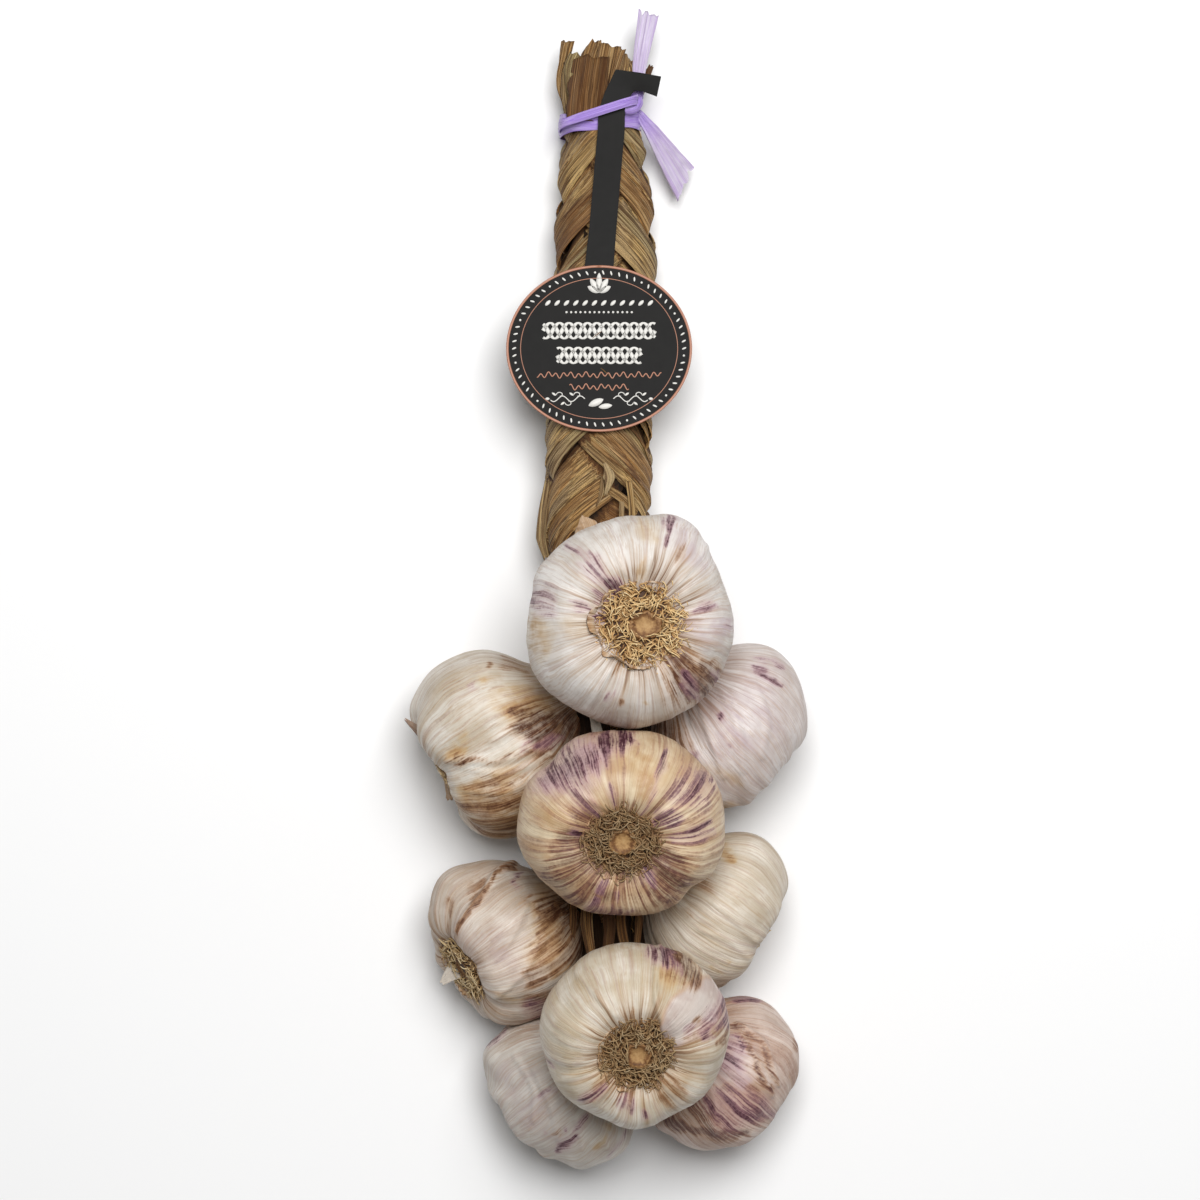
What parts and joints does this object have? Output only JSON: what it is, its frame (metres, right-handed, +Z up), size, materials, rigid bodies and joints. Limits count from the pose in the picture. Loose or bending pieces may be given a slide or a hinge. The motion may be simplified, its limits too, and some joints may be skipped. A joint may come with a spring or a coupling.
{
  "type": "garlic braid",
  "caption": "Plait of garlic bulbs on a braid of dried leaves, tied with purple raffia and with a black oval card label, lying on its back.",
  "frame": {"origin": "on the surface the plait lies on, under the middle of its bounding box", "axes": "+Z up out of the surface, towards the shown side; +Y along the plait from the bulbs to the cut leaf ends"},
  "size_m": [0.1278, 0.375, 0.0938],
  "materials": {
    "skin": "dry papery garlic skin, cream with purple and tan streaks",
    "root": "dry trimmed root hairs, golden brown",
    "leaf": "dry straw-coloured garlic leaves",
    "raffia": "pleated purple raffia, satin",
    "card": "black card with a thin copper rim and a plain white ornament"
  },
  "bodies": {
    "root": {"strand_1": "leaf", "strand_2": "leaf", "strand_3": "leaf", "bulb_top_front": "skin", "roots_top_front": "root", "bulb_middle_front": "skin", "roots_middle_front": "root", "bulb_bottom_front": "skin", "roots_bottom_front": "root", "bulb_upper_left": "skin", "roots_upper_left": "root", "bulb_upper_right": "skin", "roots_upper_right": "root", "bulb_middle_left": "skin", "roots_middle_left": "root", "bulb_middle_right": "skin", "roots_middle_right": "root", "bulb_bottom_left": "skin", "roots_bottom_left": "root", "bulb_bottom_right": "skin", "roots_bottom_right": "root", "leaf_ends": "leaf", "loose_leaf_1": "leaf", "loose_leaf_2": "leaf", "tie": "raffia", "label": "card"}
  },
  "joints": []
}
